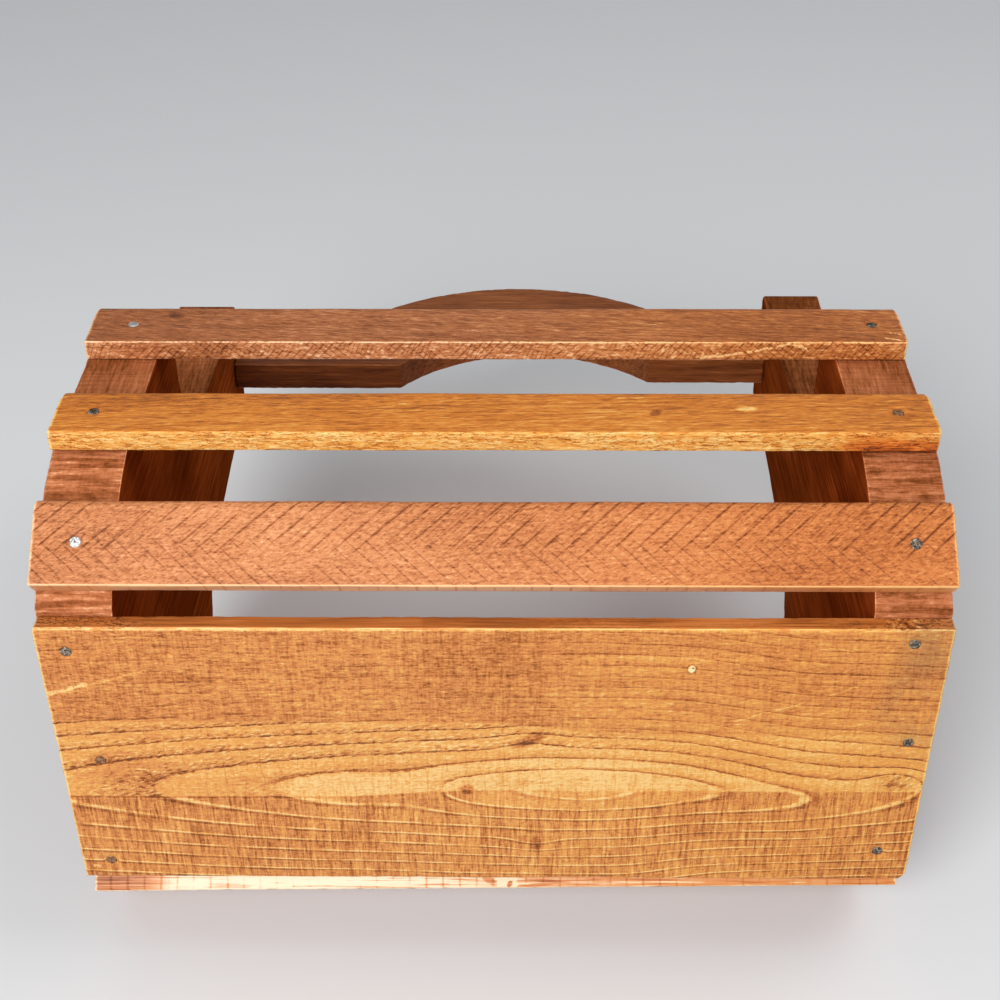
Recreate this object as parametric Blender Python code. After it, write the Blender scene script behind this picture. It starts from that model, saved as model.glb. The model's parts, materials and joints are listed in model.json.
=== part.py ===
"""Wooden slat basket, hand-made from softwood boards and round-head nails.

Two thick end boards stand on a thin bottom board. Three slats a side run from one end board to the other:
one on the rounded corner, two on the straight flank. An arm rises from the middle of each end board, and an
arched handle board is nailed between the two arms.

Metres, +Z up, +X along the slats, the front at -Y. The origin is the middle of the bottom board's underside.
"""

import math

import bmesh
import bpy
from mathutils import Matrix, Vector

# Fit between pieces that touch
SEAT_GAP = 0.0003

# Bottom board
BOTTOM_WIDTH = 0.173
BOTTOM_THICKNESS = 0.009

# Slats
SLAT_LENGTH = 0.432
SLAT_THICKNESS = 0.011
SIDE_SLAT_WIDTH = 0.0385
CORNER_SLAT_WIDTH = 0.042
CORNER_SLAT_GAP = 0.009
MIDDLE_SLAT_DROP = 0.0067
UPPER_SLAT_DROP = 0.0045
SLAT_UPPER_ROUND = 0.0045
SLAT_LOWER_ROUND = 0.002
BACK_CORNER_SLAT_TAPER = 0.005
SIDE_SLAT_END_INSET = 0.0026
SIDE_SLAT_END_HEIGHT = 0.011

# End boards
END_THICKNESS = 0.037
BODY_WIDTH = 0.270
BODY_FLOOR_WIDTH = 0.178
BELLY_RADIUS = 0.114
RIM_HEIGHT = 0.203
RIM_CORNER_RADIUS = 0.004
SHOULDER_FILLET = 0.062
ARM_WIDTH = 0.080
ARM_HEIGHT = 0.2015
LEFT_ARM_DROP = 0.015
ARM_CORNER_RADIUS = 0.005

# Handle board
HANDLE_THICKNESS = 0.019
HANDLE_END_HEIGHT = 0.036
LEFT_UNDERSIDE_DROP = 0.0075
GRIP_ARCH_RISE = 0.0345
GRIP_ARCH_RADIUS = 0.111
GRIP_ARCH_SHIFT = 0.020
CROWN_RISE = 0.0625
CROWN_SPAN = 0.249
CROWN_SHIFT = 0.013
CROWN_FILLET = 0.030
CROWN_END_FLAT = 0.008

# Nails
NAIL_SHANK_RADIUS = 0.0012
NAIL_HEAD_RADIUS = 0.0028
NAIL_HEAD_HEIGHT = 0.0010
NAIL_POINT_LENGTH = 0.004
NAIL_SINK = 0.0002
BOARD_NAIL_LENGTH = 0.038
HANDLE_NAIL_LENGTH = 0.065

# Hand-driven nails stray in X from the middle line of the end boards; (stray, y) under the bottom board
SLAT_NAIL_STRAYS = {"corner": (0.0025, -0.0005), "middle": (0.0005, 0.0005), "upper": (0.004, 0.0025)}
BOTTOM_NAIL_PLACES = {
    "left": ((-0.0045, -0.071), (0.0015, 0.001), (-0.0035, 0.074)),
    "right": ((0.0005, -0.077), (0.0065, -0.013), (0.0015, 0.065)),
}

# Worn arrises and the smoothness of curves
BOARD_EASE = 0.0016
SLAT_EASE = 0.0010
EASE_SEGMENTS = 2
EASE_ANGLE = math.radians(35)
BELLY_STEPS = 16
FILLET_STEPS = 10
CORNER_STEPS = 3
SLAT_END_STEPS = 4
CUT_CLEARANCE = 0.001
ARCH_STEPS = 24
NAIL_SIDES = 12

# Places worked out from the sizes above
HALF_LENGTH = SLAT_LENGTH / 2
HALF_BODY = BODY_WIDTH / 2
HALF_FLOOR = BODY_FLOOR_WIDTH / 2
HALF_ARM = ARM_WIDTH / 2
BODY_BASE = BOTTOM_THICKNESS + SEAT_GAP
BELLY_INSET = HALF_BODY - HALF_FLOOR
BELLY_CENTRE_Z = BODY_BASE + math.sqrt(BELLY_RADIUS**2 - (BELLY_RADIUS - BELLY_INSET) ** 2)
BELLY_CENTRE_Y = HALF_BODY - BELLY_RADIUS
FLOOR_CORNER_ANGLE = math.acos((BELLY_RADIUS - BELLY_INSET) / BELLY_RADIUS)
INNER_FACE_X = HALF_LENGTH - END_THICKNESS
NAIL_LINE_X = HALF_LENGTH - END_THICKNESS / 2
HANDLE_TOP = RIM_HEIGHT + ARM_HEIGHT

WOODS = {
    "bottom_board": (0.46, 0.17, 0.045),
    "end_board": (0.24, 0.065, 0.02),
    "corner_slat": (0.36, 0.12, 0.04),
    "middle_slat": (0.40, 0.14, 0.035),
    "upper_slat": (0.30, 0.09, 0.028),
    "handle_board": (0.32, 0.10, 0.03),
}
WOOD_ROUGHNESS = 0.42
NAIL_COLOUR = (0.34, 0.31, 0.27)
NAIL_ROUGHNESS = 0.45


def clear_scene():
    for obj in list(bpy.data.objects):
        bpy.data.objects.remove(obj, do_unlink=True)


def add_object(name, bm):
    """Turn a bmesh into a named object in the scene, with its faces pointing out."""
    bmesh.ops.recalc_face_normals(bm, faces=bm.faces)
    mesh = bpy.data.meshes.new(name)
    bm.to_mesh(mesh)
    bm.free()
    obj = bpy.data.objects.new(name, mesh)
    bpy.context.scene.collection.objects.link(obj)
    return obj


def finish(obj, colour, roughness, metallic=0.0):
    """Give an object its own material."""
    material = bpy.data.materials.new(obj.name)
    material.use_nodes = True
    shader = material.node_tree.nodes["Principled BSDF"]
    shader.inputs["Base Color"].default_value = (*colour, 1.0)
    shader.inputs["Roughness"].default_value = roughness
    shader.inputs["Metallic"].default_value = metallic
    obj.data.materials.append(material)


def arc(centre, radius, start, end, steps):
    """Points on an arc from one angle to another, both ends included."""
    turns = [start + (end - start) * i / steps for i in range(steps + 1)]
    return [(centre[0] + radius * math.cos(t), centre[1] + radius * math.sin(t)) for t in turns]


def prism(name, outline, place, sweep):
    """Carry a flat outline along a straight sweep; place(u, v) puts an outline point in space."""
    bm = bmesh.new()
    base = bm.faces.new([bm.verts.new(place(u, v)) for u, v in outline])
    made = bmesh.ops.extrude_face_region(bm, geom=[base], use_keep_orig=True)
    far_end = [item for item in made["geom"] if isinstance(item, bmesh.types.BMVert)]
    bmesh.ops.translate(bm, verts=far_end, vec=sweep)
    return add_object(name, bm)


def turned(name, profile):
    """Turn a profile of (radius, depth) points round the Z axis; its ends lie on the axis."""
    bm = bmesh.new()
    line = [bm.verts.new((radius, 0.0, depth)) for radius, depth in profile]
    edges = [bm.edges.new(pair) for pair in zip(line, line[1:])]
    bmesh.ops.spin(bm, geom=line + edges, axis=(0, 0, 1), cent=(0, 0, 0), angle=math.tau, steps=NAIL_SIDES)
    bmesh.ops.remove_doubles(bm, verts=bm.verts, dist=1e-6)
    return add_object(name, bm)


def ease(obj, width):
    """Round the sharp arrises of a board by a small worn width."""
    bevel = obj.modifiers.new("worn_arris", "BEVEL")
    bevel.width = width
    bevel.segments = EASE_SEGMENTS
    bevel.limit_method = "ANGLE"
    bevel.angle_limit = EASE_ANGLE


def hide_cutter(cutter):
    """A cutter is left out of the model itself."""
    cutter.hide_render = True
    cutter.display_type = "WIRE"


def cut(obj, cutters):
    """Take the cutters' shapes out of an object, such as the nail holes."""
    for cutter in cutters:
        hide_cutter(cutter)
        hole = obj.modifiers.new("cut", "BOOLEAN")
        hole.operation = "DIFFERENCE"
        hole.solver = "EXACT"
        hole.object = cutter


class Nail:
    """A round-head nail driven from a point on a face, with the hole that it needs."""

    def __init__(self, name, face_point, inward, length):
        head, seat = NAIL_HEAD_RADIUS, NAIL_HEAD_RADIUS + SEAT_GAP
        shank, bore = NAIL_SHANK_RADIUS, NAIL_SHANK_RADIUS + SEAT_GAP
        head_edge = NAIL_HEAD_HEIGHT / 3
        nail_profile = [
            (0.0, 0.0),
            (head - head_edge, 0.0),
            (head, head_edge),
            (head, NAIL_HEAD_HEIGHT),
            (shank, NAIL_HEAD_HEIGHT),
            (shank, length - NAIL_POINT_LENGTH),
            (0.0, length),
        ]
        hole_profile = [
            (0.0, -seat),
            (seat, -seat),
            (seat, NAIL_HEAD_HEIGHT + SEAT_GAP),
            (bore, NAIL_HEAD_HEIGHT + SEAT_GAP),
            (bore, length + SEAT_GAP),
            (0.0, length + SEAT_GAP),
        ]
        self.solid = turned(name, nail_profile)
        self.hole = turned(name + "_hole", hole_profile)
        for obj in (self.solid, self.hole):
            obj.location = face_point + inward * NAIL_SINK
            obj.rotation_euler = inward.to_track_quat("Z", "Y").to_euler()
        self.solid.data.shade_smooth()
        self.solid.data.set_sharp_from_angle(angle=EASE_ANGLE)
        finish(self.solid, NAIL_COLOUR, NAIL_ROUGHNESS, metallic=1.0)


def end_board_outline(arm_top):
    """Half of the outline runs up the +Y side in (y, z); the other half is its mirror image."""
    half = arc((BELLY_CENTRE_Y, BELLY_CENTRE_Z), BELLY_RADIUS, -FLOOR_CORNER_ANGLE, 0.0, BELLY_STEPS)
    rim_corner = (HALF_BODY - RIM_CORNER_RADIUS, RIM_HEIGHT - RIM_CORNER_RADIUS)
    half += arc(rim_corner, RIM_CORNER_RADIUS, 0.0, math.pi / 2, CORNER_STEPS)
    fillet_centre = (HALF_ARM + SHOULDER_FILLET, RIM_HEIGHT + SHOULDER_FILLET)
    half += arc(fillet_centre, SHOULDER_FILLET, -math.pi / 2, -math.pi, FILLET_STEPS)
    arm_corner = (HALF_ARM - ARM_CORNER_RADIUS, arm_top - ARM_CORNER_RADIUS)
    half += arc(arm_corner, ARM_CORNER_RADIUS, 0.0, math.pi / 2, CORNER_STEPS)
    return half + [(-y, z) for y, z in reversed(half)]


def make_end_board(side, nails):
    sign = 1 if side == "right" else -1
    arm_top = HANDLE_TOP if side == "right" else HANDLE_TOP - LEFT_ARM_DROP
    board = prism(
        "end_board_" + side,
        end_board_outline(arm_top),
        lambda y, z: (sign * INNER_FACE_X, y, z),
        (sign * END_THICKNESS, 0.0, 0.0),
    )
    ease(board, BOARD_EASE)
    cut(board, [nail.hole for nail in nails])
    finish(board, WOODS["end_board"], WOOD_ROUGHNESS)


def make_bottom_board(nails):
    half_width = BOTTOM_WIDTH / 2
    corners = [(-HALF_LENGTH, -half_width), (HALF_LENGTH, -half_width), (HALF_LENGTH, half_width)]
    corners.append((-HALF_LENGTH, half_width))
    board = prism("bottom_board", corners, lambda x, y: (x, y, 0.0), (0.0, 0.0, BOTTOM_THICKNESS))
    ease(board, SLAT_EASE)
    cut(board, [nail.hole for nail in nails])
    finish(board, WOODS["bottom_board"], WOOD_ROUGHNESS)


def slat_outline(width):
    """Section of a slat in (across, out): flat inside, the outer arrises rounded by hand."""
    upper, lower = SLAT_UPPER_ROUND, SLAT_LOWER_ROUND
    upper_centre = (width / 2 - upper, SLAT_THICKNESS - upper)
    lower_centre = (lower - width / 2, SLAT_THICKNESS - lower)
    outline = [(-width / 2, 0.0), (width / 2, 0.0)]
    outline += arc(upper_centre, upper, 0.0, math.pi / 2, CORNER_STEPS)
    outline += arc(lower_centre, lower, math.pi / 2, math.pi, CORNER_STEPS)
    return outline


def slat_end_cutters(name, width, frame):
    """What a rasp takes off the upper corner of both ends, growing with the square of the height."""
    cutters = []
    for end, sign in (("left", -1), ("right", 1)):
        outside = HALF_LENGTH + CUT_CLEARANCE
        line = [(outside, width / 2 - SIDE_SLAT_END_HEIGHT)]
        for i in range(SLAT_END_STEPS + 1):
            share = 1.1 * i / SLAT_END_STEPS
            inset = SIDE_SLAT_END_INSET * (0.3 * share + 0.7 * share**2)
            line.append((HALF_LENGTH - inset, width / 2 + SIDE_SLAT_END_HEIGHT * (share - 1)))
        line.append((outside, line[-1][1]))
        cutter = prism(
            f"{name}_{end}_corner",
            [(sign * along, across) for along, across in line],
            lambda along, across: (along, across, -CUT_CLEARANCE),
            (0.0, 0.0, SLAT_THICKNESS + 2 * CUT_CLEARANCE),
        )
        cutter.matrix_world = frame
        cutters.append(cutter)
    return cutters


def make_slat(name, colour, width, frame, nails, taper=0.0):
    """frame holds the slat's place: X along it, Y up across its width, Z out of its outer face."""
    slat = prism(
        name,
        slat_outline(width),
        lambda across, out: (-HALF_LENGTH, across, out),
        (SLAT_LENGTH, 0.0, 0.0),
    )
    for vertex in slat.data.vertices:
        if vertex.co.x < 0:
            vertex.co.z *= 1 - taper / SLAT_THICKNESS
    slat.matrix_world = frame
    if width == SIDE_SLAT_WIDTH:
        cut(slat, slat_end_cutters(name, width, frame))
    ease(slat, SLAT_EASE)
    cut(slat, [nail.hole for nail in nails])
    finish(slat, colour, WOOD_ROUGHNESS)


def slat_frame(middle, out):
    """Place of a front slat from the middle of its inner face and the direction that it faces."""
    along = Vector((1, 0, 0))
    across = out.cross(along)
    frame = Matrix((along, across, out)).transposed().to_4x4()
    frame.translation = middle
    return frame


def front_slat_frames():
    """The corner slat lies tangent to the belly, the other two lie flat on the side."""
    corner_arc = (CORNER_SLAT_GAP + CORNER_SLAT_WIDTH / 2) / BELLY_RADIUS
    angle = FLOOR_CORNER_ANGLE - corner_arc
    corner_out = Vector((0, -math.cos(angle), -math.sin(angle)))
    belly_centre = Vector((0, -BELLY_CENTRE_Y, BELLY_CENTRE_Z))
    side_out = Vector((0, -1, 0))
    middle_height = BELLY_CENTRE_Z - MIDDLE_SLAT_DROP
    upper_height = RIM_HEIGHT - UPPER_SLAT_DROP - SIDE_SLAT_WIDTH / 2
    side_y = -HALF_BODY - SEAT_GAP
    return {
        "corner": slat_frame(belly_centre + corner_out * (BELLY_RADIUS + SEAT_GAP), corner_out),
        "middle": slat_frame(Vector((0, side_y, middle_height)), side_out),
        "upper": slat_frame(Vector((0, side_y, upper_height)), side_out),
    }


def make_slats():
    """All six slats; the back ones are the front ones turned half a turn about Z. Returns nails by side."""
    nails = {"left": [], "right": []}
    widths = {"corner": CORNER_SLAT_WIDTH, "middle": SIDE_SLAT_WIDTH, "upper": SIDE_SLAT_WIDTH}
    for face, turn in (("front", 0.0), ("back", math.pi)):
        for row, front_frame in front_slat_frames().items():
            frame = Matrix.Rotation(turn, 4, "Z") @ front_frame
            taper = BACK_CORNER_SLAT_TAPER if (face, row) == ("back", "corner") else 0.0
            slat_nails = []
            for nail_line, stray in zip((-NAIL_LINE_X, NAIL_LINE_X), SLAT_NAIL_STRAYS[row]):
                local_x = nail_line + stray
                thinned = taper * (HALF_LENGTH - local_x) / SLAT_LENGTH
                face_point = frame @ Vector((local_x, 0.0, SLAT_THICKNESS - thinned))
                side = "right" if face_point.x > 0 else "left"
                inward = -frame.to_3x3().col[2]
                nail = Nail(f"nail_{face}_{row}_{side}", face_point, inward, BOARD_NAIL_LENGTH)
                slat_nails.append(nail)
                nails[side].append(nail)
            make_slat(f"{face}_{row}_slat", WOODS[row + "_slat"], widths[row], frame, slat_nails, taper)
    return nails


def make_bottom_nails():
    nails = {"left": [], "right": []}
    for side, places in BOTTOM_NAIL_PLACES.items():
        nail_line = NAIL_LINE_X if side == "right" else -NAIL_LINE_X
        for number, (stray, y) in enumerate(places, start=1):
            name = f"nail_bottom_{side}_{number}"
            face_point = Vector((nail_line + stray, y, 0.0))
            nails[side].append(Nail(name, face_point, Vector((0, 0, 1)), BOARD_NAIL_LENGTH))
    return nails


def handle_underside(side):
    right = HANDLE_TOP - HANDLE_END_HEIGHT
    return right if side == "right" else right - LEFT_UNDERSIDE_DROP


def make_handle_nails():
    """Two nails through each arm, at a quarter and three quarters of where arm and handle overlap."""
    nails = {"left": [], "right": []}
    for side, sign in (("left", -1), ("right", 1)):
        arm_top = HANDLE_TOP if side == "right" else HANDLE_TOP - LEFT_ARM_DROP
        lap = arm_top - handle_underside(side)
        for number in (1, 2):
            height = handle_underside(side) + lap * (2 * number - 1) / 4
            face_point = Vector((sign * HALF_LENGTH, 0.0, height))
            name = f"nail_handle_{side}_{number}"
            nails[side].append(Nail(name, face_point, Vector((-sign, 0, 0)), HANDLE_NAIL_LENGTH))
    return nails


def handle_outline():
    """Outline in (x, z): flat ends, an arched grip cut into the underside and a raised crown on top."""
    end = INNER_FACE_X - SEAT_GAP
    left, right = handle_underside("left"), handle_underside("right")
    arch_z = right + GRIP_ARCH_RISE - GRIP_ARCH_RADIUS
    left_foot = math.pi - math.asin((left - arch_z) / GRIP_ARCH_RADIUS)
    right_foot = math.asin((right - arch_z) / GRIP_ARCH_RADIUS)
    outline = [(-end, left)]
    outline += arc((GRIP_ARCH_SHIFT, arch_z), GRIP_ARCH_RADIUS, left_foot, right_foot, ARCH_STEPS)
    outline += [(end, right), (end, HANDLE_TOP)]
    half_span = CROWN_SPAN / 2
    crown_radius = (half_span**2 + CROWN_RISE**2) / (2 * CROWN_RISE)
    crown_z = HANDLE_TOP + CROWN_RISE - crown_radius
    room = end - CROWN_END_FLAT - CROWN_SHIFT
    fillet = min(CROWN_FILLET, (room**2 - half_span**2) / (2 * CROWN_RISE))
    reach = math.sqrt(half_span**2 + 2 * fillet * CROWN_RISE)
    slope = math.acos(reach / (crown_radius + fillet))
    right_centre = (CROWN_SHIFT + reach, HANDLE_TOP + fillet)
    left_centre = (CROWN_SHIFT - reach, HANDLE_TOP + fillet)
    outline += arc(right_centre, fillet, -math.pi / 2, slope - math.pi, CORNER_STEPS)
    outline += arc((CROWN_SHIFT, crown_z), crown_radius, slope, math.pi - slope, ARCH_STEPS)[1:-1]
    outline += arc(left_centre, fillet, -slope, -math.pi / 2, CORNER_STEPS)
    outline.append((-end, HANDLE_TOP))
    return outline


def make_handle_board(nails):
    board = prism(
        "handle_board",
        handle_outline(),
        lambda x, z: (x, -HANDLE_THICKNESS / 2, z),
        (0.0, HANDLE_THICKNESS, 0.0),
    )
    ease(board, BOARD_EASE)
    cut(board, [nail.hole for nail in nails])
    finish(board, WOODS["handle_board"], WOOD_ROUGHNESS)


clear_scene()
slat_nails_by_side = make_slats()
bottom_nails_by_side = make_bottom_nails()
handle_nails_by_side = make_handle_nails()
for board_side in ("left", "right"):
    make_end_board(
        board_side,
        slat_nails_by_side[board_side] + bottom_nails_by_side[board_side] + handle_nails_by_side[board_side],
    )
make_bottom_board(bottom_nails_by_side["left"] + bottom_nails_by_side["right"])
make_handle_board(handle_nails_by_side["left"] + handle_nails_by_side["right"])
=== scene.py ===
"""Looks of the hand-made wooden slat basket: stained and varnished boards, held by old round-head nails."""

import json
import math

import bpy
import numpy as np
from mathutils import Matrix, Vector

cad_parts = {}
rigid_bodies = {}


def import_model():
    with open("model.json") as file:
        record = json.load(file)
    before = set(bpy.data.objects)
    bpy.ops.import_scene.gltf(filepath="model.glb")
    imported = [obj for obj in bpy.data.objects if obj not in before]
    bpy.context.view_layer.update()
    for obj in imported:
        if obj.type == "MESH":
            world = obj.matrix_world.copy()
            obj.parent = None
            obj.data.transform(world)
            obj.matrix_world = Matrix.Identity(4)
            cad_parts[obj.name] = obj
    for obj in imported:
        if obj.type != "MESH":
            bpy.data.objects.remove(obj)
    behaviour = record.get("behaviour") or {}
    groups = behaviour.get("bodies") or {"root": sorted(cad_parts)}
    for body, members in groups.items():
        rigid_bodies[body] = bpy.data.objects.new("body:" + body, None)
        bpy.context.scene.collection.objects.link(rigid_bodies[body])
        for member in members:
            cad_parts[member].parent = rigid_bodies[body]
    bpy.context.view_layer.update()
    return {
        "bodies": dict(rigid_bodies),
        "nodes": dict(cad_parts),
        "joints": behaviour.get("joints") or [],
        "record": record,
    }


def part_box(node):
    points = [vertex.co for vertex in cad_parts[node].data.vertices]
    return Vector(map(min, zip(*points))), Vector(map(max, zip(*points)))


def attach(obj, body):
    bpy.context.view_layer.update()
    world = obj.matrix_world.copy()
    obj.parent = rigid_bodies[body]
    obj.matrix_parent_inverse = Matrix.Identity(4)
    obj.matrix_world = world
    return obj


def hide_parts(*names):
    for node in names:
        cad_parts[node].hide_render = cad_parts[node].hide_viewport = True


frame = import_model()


# Bottom board
# One wide thin softwood board, rough from the band saw, stained orange-brown and varnished. The end boards
# stand on it and it is nailed up into them. It is cut near the heart of the log, and long ovals lie in it.

MM = 0.001
ARC_STEPS = 4
END_EASE = 0.8 * MM
FINE_PITCH = 1.0 * MM
NAIL_ZONE = 30 * MM
WEAR_SPREAD = 0.5 * MM
END_WORN = 0.8
END_GRID_WORN = 0.6
SWAY = 0.2 * MM
SWAY_WAVE = 16 * MM
CHIP_WAVE = 7 * MM
SPLINTER_WAVE = 2.6 * MM
DENT_DEPTH = 0.85 * MM
DENT_RADIUS = 3.6 * MM
DENT_SOFTNESS = 0.35 * MM
CORNER_REACH = 14 * MM


def arc(centre, radius, start, end, wear=0.0, steps=ARC_STEPS):
    """Points on an arc, as (across, out, wear): centre plus radius times (cos t, sin t), t in degrees."""
    t = np.radians(np.linspace(start, end, steps + 1))
    worn = wear * np.sin(np.linspace(0, math.pi, steps + 1)) ** 2
    return np.column_stack([centre[0] + radius * np.cos(t), centre[1] + radius * np.sin(t), worn])


def level(start, end, out, count):
    """Evenly spaced points across a board between two places, both left out, all as far out and unworn."""
    return np.column_stack([np.linspace(start, end, count + 2)[1:-1], np.full(count, out), np.zeros(count)])


def slat_section(width, thickness, pitch, eases, wear):
    """Section of a flat board in (across, out): its back and its face, both from the low to the high side.

    Its arrises are quarter circles. eases holds their radii and wear how pale they are worn, each in the
    order back, low, high.
    """
    half = width / 2
    inner, low, high = eases
    count = max(2, round((width - 2 * inner) / pitch)) - 1
    back = [
        arc((inner - half, inner), inner, 180, 270, wear[0]),
        level(inner - half, half - inner, 0.0, count),
        arc((half - inner, inner), inner, 270, 360, wear[0]),
    ]
    face = [
        arc((low - half, thickness - low), low, 180, 90, wear[1]),
        level(low - half, half - high, thickness, count),
        arc((half - high, thickness - high), high, 90, 0, wear[2]),
    ]
    return np.vstack(back), np.vstack(face)


def stations(low, high, pitch):
    """Places along a board from end to end: close together near both ends, pitch apart between them."""
    fine = np.arange(low + FINE_PITCH, low + NAIL_ZONE, FINE_PITCH)
    steps = max(2, round((high - low - 2 * NAIL_ZONE) / pitch))
    middle = np.linspace(low + NAIL_ZONE, high - NAIL_ZONE, steps)
    return np.concatenate([fine, middle, low + high - fine[::-1]])


def ripple(points, wavelength, seed):
    """Smooth random heights from about -1 to 1: seven sine waves of about one wavelength, added up."""
    waves = 7
    draw = np.random.default_rng(seed)
    direction = draw.normal(size=(waves, 3))
    direction /= np.linalg.norm(direction, axis=1, keepdims=True)
    length = wavelength * draw.uniform(0.6, 1.5, waves)
    phase = draw.uniform(0, math.tau, waves)
    return np.sin(points @ (direction / length[:, None] * math.tau).T + phase).sum(1) / math.sqrt(waves)


def weathered(points, normals, worn, seed, chip, nails):
    """Sways a surface a little along its normals, chips its worn arrises and dents its face round nails.

    A dent is a smooth step in the distance from the nail: half of 1 - tanh.
    """
    chips = ripple(points, CHIP_WAVE, seed + 1) + 0.5 * ripple(points, SPLINTER_WAVE, seed + 2)
    move = SWAY * 0.5 * (ripple(points * (1, 1, 0.25), SWAY_WAVE, seed) - 1)
    move -= chip * worn * np.clip(chips, 0, 2)
    for across, along in nails:
        distance = np.hypot(points[:, 0] - across, points[:, 2] - along)
        dent = 0.5 - 0.5 * np.tanh((distance - DENT_RADIUS) / (2 * DENT_SOFTNESS))
        move -= DENT_DEPTH * np.clip(normals[:, 1], 0, 1) * dent
    return points + normals * move[:, None]


def make_piece(name, points, faces):
    """A smooth object from lists of points and faces, at the origin."""
    mesh = bpy.data.meshes.new(name)
    mesh.from_pydata(points, [], faces)
    mesh.shade_smooth()
    piece = bpy.data.objects.new(name, mesh)
    bpy.context.scene.collection.objects.link(piece)
    return piece


def carried(name, lower, upper, rows, places, place, seed, chip=0.35 * MM, nails=(), corners=()):
    """A board: a flat section carried in a straight line, with a grid over each end and a rounded border.

    The section's border runs along the curve lower, up, back along the curve upper, and down. An end's inner
    points are the even mix of the two curves, column by column. At each end the border moves in by
    e(1 - sin t) while the place moves by e(1 - cos t), as t goes from 0 to 90 degrees.
    nails are (across, along) places on the face. corners rounds ends off: for each (across side, end side,
    inset, height) the end moves in by inset times the square of the way along the last height towards that
    side. place is the matrix from (across, out, along) to the basket.
    """
    columns = len(lower)
    mix = np.linspace(0, 1, rows + 1)[1:-1, None]
    right = lower[-1] * (1 - mix) + upper[-1] * mix
    left = upper[0] * (1 - mix) + lower[0] * mix
    right[:, 2] = left[:, 2] = 0
    border = np.vstack([lower, right, upper[::-1], left])
    count = len(border)
    tangent = np.roll(border[:, :2], -1, axis=0) - np.roll(border[:, :2], 1, axis=0)
    outward = np.column_stack([tangent[:, 1], -tangent[:, 0]])
    outward /= np.linalg.norm(outward, axis=1, keepdims=True)

    turn = np.radians(np.linspace(0, 90, ARC_STEPS + 1))
    inset = END_EASE * (1 - np.sin(turn))
    reach = END_EASE * (1 - np.cos(turn))
    low, high = places[0] - FINE_PITCH, places[-1] + FINE_PITCH
    straight = np.zeros(len(places))
    ring_inset = np.concatenate([inset, straight, inset[::-1]])
    ring_place = np.concatenate([low + reach, places, (high - reach)[::-1]])
    ring_slope = np.concatenate([-np.cos(turn), straight, np.cos(turn)[::-1]])
    rings = len(ring_place)
    flat = border[None, :, :2] - outward[None] * ring_inset[:, None, None]
    flat_normal = outward[None] * np.sqrt(1 - ring_slope**2)[:, None, None]
    whole = (rings, count, 1)
    shell = np.concatenate([flat, np.broadcast_to(ring_place[:, None, None], whole)], axis=2)
    shell_normal = np.concatenate([flat_normal, np.broadcast_to(ring_slope[:, None, None], whole)], axis=2)

    apart = np.linalg.norm(border[:, None, :2] - border[None, :, :2], axis=2)
    arris = (border[None, :, 2] * np.exp(-((apart / WEAR_SPREAD) ** 2))).max(1)
    from_end = np.minimum(ring_place - low, high - ring_place) - END_EASE / 2
    end_wear = END_WORN * np.exp(-((from_end / WEAR_SPREAD) ** 2))

    index = np.arange(rings * count).reshape(rings, count)
    following = np.roll(index, -1, axis=1)
    walls = np.stack([index[1:], index[:-1], following[:-1], following[1:]], axis=-1).reshape(-1, 4)
    points = [shell.reshape(-1, 3)]
    normals = [shell_normal.reshape(-1, 3)]
    worn = [np.maximum(arris[None, :], end_wear[:, None]).ravel()]
    faces = [walls]
    start = rings * count
    for ring, along, facing in ((0, low, -1.0), (rings - 1, high, 1.0)):
        rim = shell[ring, :, :2]
        rim_upper = rim[columns + rows - 1 : 2 * columns + rows - 1][::-1]
        inner = rim[1 : columns - 1, None] * (1 - mix) + rim_upper[1:-1, None] * mix
        inner = inner.reshape(-1, 2)
        gap = np.linalg.norm(inner[:, None] - rim[None], axis=2).min(1)
        grid = np.empty((columns, rows + 1), int)
        grid[:, 0] = index[ring, :columns]
        grid[:, -1] = index[ring, columns + rows - 1 : 2 * columns + rows - 1][::-1]
        grid[-1, 1:-1] = index[ring, columns : columns + rows - 1]
        grid[0, 1:-1] = index[ring, 2 * columns + rows - 1 :][::-1]
        grid[1:-1, 1:-1] = start + np.arange(len(inner)).reshape(columns - 2, rows - 1)
        start += len(inner)
        around = (grid[:-1, :-1], grid[1:, :-1], grid[1:, 1:], grid[:-1, 1:])
        quads = np.stack(around, axis=-1).reshape(-1, 4)
        faces.append(quads if facing > 0 else quads[:, ::-1])
        points.append(np.column_stack([inner, np.full(len(inner), along)]))
        normals.append(np.tile((0.0, 0.0, facing), (len(inner), 1)))
        worn.append(END_GRID_WORN * np.exp(-((gap / WEAR_SPREAD) ** 2)))

    worn = np.concatenate(worn)
    points = weathered(np.vstack(points), np.vstack(normals), worn, seed, chip, nails)
    for across_side, end_side, inset, height in corners:
        up = np.clip((points[:, 0] * across_side - border[:, 0].max() + height) / height, 0, 1) ** 2
        near_end = np.clip((points[:, 2] * end_side - high + CORNER_REACH) / CORNER_REACH, 0, 1)
        points[:, 2] -= end_side * inset * up * near_end
    world = points @ np.array(place.to_3x3()).T + np.array(place.translation)
    piece = make_piece(name, world.tolist(), np.vstack(faces).tolist())
    attribute = piece.data.attributes.new("worn", "FLOAT", "POINT")
    attribute.data.foreach_set("value", worn.astype(np.float32))
    return piece


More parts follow.
